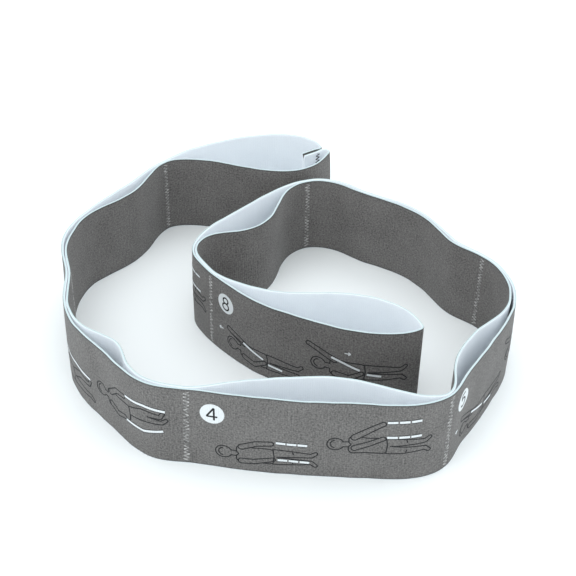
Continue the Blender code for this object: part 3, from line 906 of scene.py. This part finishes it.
# a strap of a figure is its line and in how many dashes it is drawn
poses = [
    {   # both hands pull the strap down from behind
        "body": standing,
        "over": [[(11.0, 4.0, 1.4), (16.6, 6.2, 1.25), (22.8, 7.0, 1.05)],
                 [(11.0, -3.8, 1.4), (16.6, -3.6, 1.2), (23.6, -1.6, 1.0)]],
        "strap": [([(24.4, 7.8), (37.4, 7.4)], 3), ([(25.2, -1.5), (38.4, -1.9)], 3)],
        "details": dressed,
    },
    {   # both hands pull the strap forward and up
        "body": standing,
        "over": [[(11.0, 3.8, 1.4), (16.6, 8.0, 1.25), (22.0, 11.6, 1.05)],
                 [(11.2, -1.8, 1.3), (16.8, 0.8, 1.15), (22.4, 3.8, 1.0)]],
        "strap": [([(23.2, 12.4), (37.0, 13.0)], 3), ([(23.4, 4.6), (37.4, 5.1)], 3)],
        "details": dressed,
    },
    {   # one arm folded behind the head, the strap down the back
        "body": standing,
        "over": [[(11.0, 3.6, 1.4), (1.4, 7.0, 1.2)], [(1.4, 7.0, 1.2), (9.4, 4.6, 1.05)],
                 [(11.0, -3.6, 1.35), (17.2, -4.6, 1.2), (22.6, -1.2, 1.0)]],
        "strap": [([(10.6, 4.0), (21.8, 0.4)], 1), ([(24.4, -1.4), (31.4, -2.0)], 1)],
        "details": [hair, hem],
        "arrows": [(-2.6, 4.4, -1)],
    },
    {   # the same with the raised arm stretched
        "body": standing,
        "over": [[(10.8, 3.8, 1.4), (4.6, 6.8, 1.2), (-1.2, 9.4, 1.0)],
                 [(11.0, -3.6, 1.35), (17.2, -4.4, 1.2), (22.6, -1.0, 1.0)]],
        "strap": [([(9.4, 5.0), (21.8, 0.6)], 1), ([(24.8, -1.2), (30.8, -1.8)], 1)],
        "details": [hair, hem],
        "arrows": [(15.0, 8.6, 1)],
    },
    {   # sitting, the strap from the hands round the foot
        "body": [head, neck, trunk, legBack, legForward],
        "over": [[(11.0, 3.4, 1.4), (15.6, 7.0, 1.2), (21.0, 8.6, 1.0)]],
        "strap": [([(8.0, 8.6), (20.0, 9.6), (31.0, 8.8), (39.6, 8.2)], 1)],
        "details": [hair, collar, hem],
    },
    {   # lying on one side, the strap from the hands under both feet
        "body": [head, neck, trunk, legStraight, legForward],
        "over": [[(11.0, 3.2, 1.4), (15.2, 6.6, 1.2), (20.4, 7.2, 1.0)],
                 [(11.0, -3.0, 1.35), (15.6, -5.4, 1.2), (20.8, -3.6, 1.0)]],
        "strap": [([(21.4, 8.2), (31.0, 8.8), (40.4, 8.0)], 1),
                  ([(21.6, -4.4), (30.8, -5.0), (39.2, -2.6)], 1)],
        "details": [hair, hem],
    },
]
lineStep = 0.3         # millimetres between sampled points of an outline


def mirrored(chain):
    # the same chain on the other side of the figure's middle line
    return [(x, -y, radius) for x, y, radius in chain]


def coneOutline(a, b):
    # outline of two circles and their outer tangents, closed
    start, end = np.array(a[:2]), np.array(b[:2])
    way, length = math.atan2(*(end - start)[::-1]), math.dist(start, end)
    lean = math.acos(max(-1.0, min(1.0, (a[2] - b[2]) / length))) if length > 1e-6 else math.pi / 2
    back = np.linspace(way + lean, way + 2 * math.pi - lean, 24)
    front = np.linspace(way - lean, way + lean, 24)
    line = np.vstack([start + a[2] * np.column_stack([np.cos(back), np.sin(back)]),
                      end + b[2] * np.column_stack([np.cos(front), np.sin(front)])])
    return evenly(np.vstack([line, line[:1]]), lineStep)


def depthInCone(points, a, b):
    # how far outside (positive) or inside (negative) the points are of the same shape
    start, end = np.array(a[:2]), np.array(b[:2])
    run = end - start
    t = np.clip((points - start) @ run / max(run @ run, 1e-9), 0, 1)
    return np.linalg.norm(points - start - t[:, None] * run, axis=1) - (a[2] + t * (b[2] - a[2]))


def conesOf(parts):
    # each two neighbours of every chain, as the two ends of a cone
    chains = []
    for part in parts:
        chains.append(mirrored(chains[-1]) if part == "mirror" else part)
    return [pair for chain in chains for pair in zip(chain[:-1], chain[1:])]


def visibleRuns(line, hidden):
    # the stretches of a closed outline that nothing hides, each a sample longer at both ends
    shown = ~hidden
    shown = shown | np.roll(shown, 1) | np.roll(shown, -1)
    if shown.all():
        return [np.vstack([line, line[:1]])]
    first = np.flatnonzero(~shown)[0]
    line, shown = np.roll(line, -first, axis=0), np.roll(shown, -first)
    edges = np.flatnonzero(np.diff(np.r_[False, shown, False].astype(int)))
    return [line[a:b] for a, b in zip(edges[::2], edges[1::2]) if b - a > 4]


def figureStrokes(pose):
    # outlines of every group, without what lies inside its own group or under a later one
    groups = [conesOf(pose["body"])] + [conesOf([chain]) for chain in pose["over"]]
    strokes = [np.array(line, float) for line in pose["details"]]
    for g, cones in enumerate(groups):
        for c, cone in enumerate(cones):
            line = coneOutline(*cone)[:-1]
            hidden = np.zeros(len(line), bool)
            for o, other in enumerate(cones):
                if o != c:
                    hidden |= depthInCone(line, *other) < (0.03 if o < c else -0.03)
            for cover in groups[g + 1:]:
                for other in cover:
                    hidden |= depthInCone(line, *other) < 0
            strokes += visibleRuns(line, hidden)
    return strokes


def strapDashes(pose):
    # each strap of a figure, cut into its dashes with small gaps
    dashes = []
    for line, count in pose["strap"]:
        line = evenly(np.array(line), 0.1)
        at = np.linspace(0, 1, len(line))
        for part in range(count):
            inDash = (at >= (part + ink["dashGap"]) / count) & (at <= (part + 1 - ink["dashGap"]) / count)
            dashes.append(line[inDash] if count > 1 else line)
    return dashes


def besides(line, gap):
    # the two thin lines along the sides of a dash
    way = np.gradient(line, axis=0)
    side = leftOf(way / np.linalg.norm(way, axis=1)[:, None]) * gap
    return [line + side, line - side]


def arrow(x, y, way):
    # shaft and head of a small arrow
    end = np.array([x + 2.6 * way, y])
    barb = np.array([1.0 * way, 0.8])
    return [np.array([(x, y), end]), np.array([end - barb, end, end - barb * (1, -1)])]


def onLoop(strokes, place):
    # millimetres of a drawing to metres on the loop, from its place
    return [np.asarray(stroke) * mm + place for stroke in strokes]


prints = {}
for loop in range(1, 9):
    pieces = [inkDisc(loop)]
    numeral = [np.asarray(stroke) * numeralSize for stroke in numerals[loop]]
    numeral = onLoop(numeral, (disc["afterSeam"], disc["height"]))
    pieces.append(inkStrokes(f"numeral_{loop}", loop, numeral, ink["numeralLine"], ink["lift"] + ink["over"],
                             "blackInk"))
    black, white, arrows = [], [], []
    for turn, place in enumerate(figureAt.values()):
        place = (place[0] - figureBack.get(loop, (0.0, 0.0))[turn], place[1])
        pose = poses[(2 * loop + turn + 4) % len(poses)]
        dashes = strapDashes(pose)
        black += onLoop(figureStrokes(pose), place)
        black += onLoop([line for dash in dashes for line in besides(dash, ink["beside"])], place)
        white += onLoop(dashes, place)
        for start in pose.get("arrows", []):
            arrows += onLoop(arrow(*start), place)
    pieces.append(inkStrokes(f"figures_{loop}", loop, black, ink["line"], ink["lift"], "blackInk"))
    pieces.append(inkStrokes(f"strap_marks_{loop}", loop, white, ink["dash"], ink["lift"] + 0.01 * mm,
                             "whiteInk"))
    if arrows:
        pieces.append(inkStrokes(f"arrows_{loop}", loop, arrows, ink["line"], ink["lift"], "whiteInk"))
    prints[loop] = pieces
print("prints:", sum(map(len, prints.values())), "pieces")
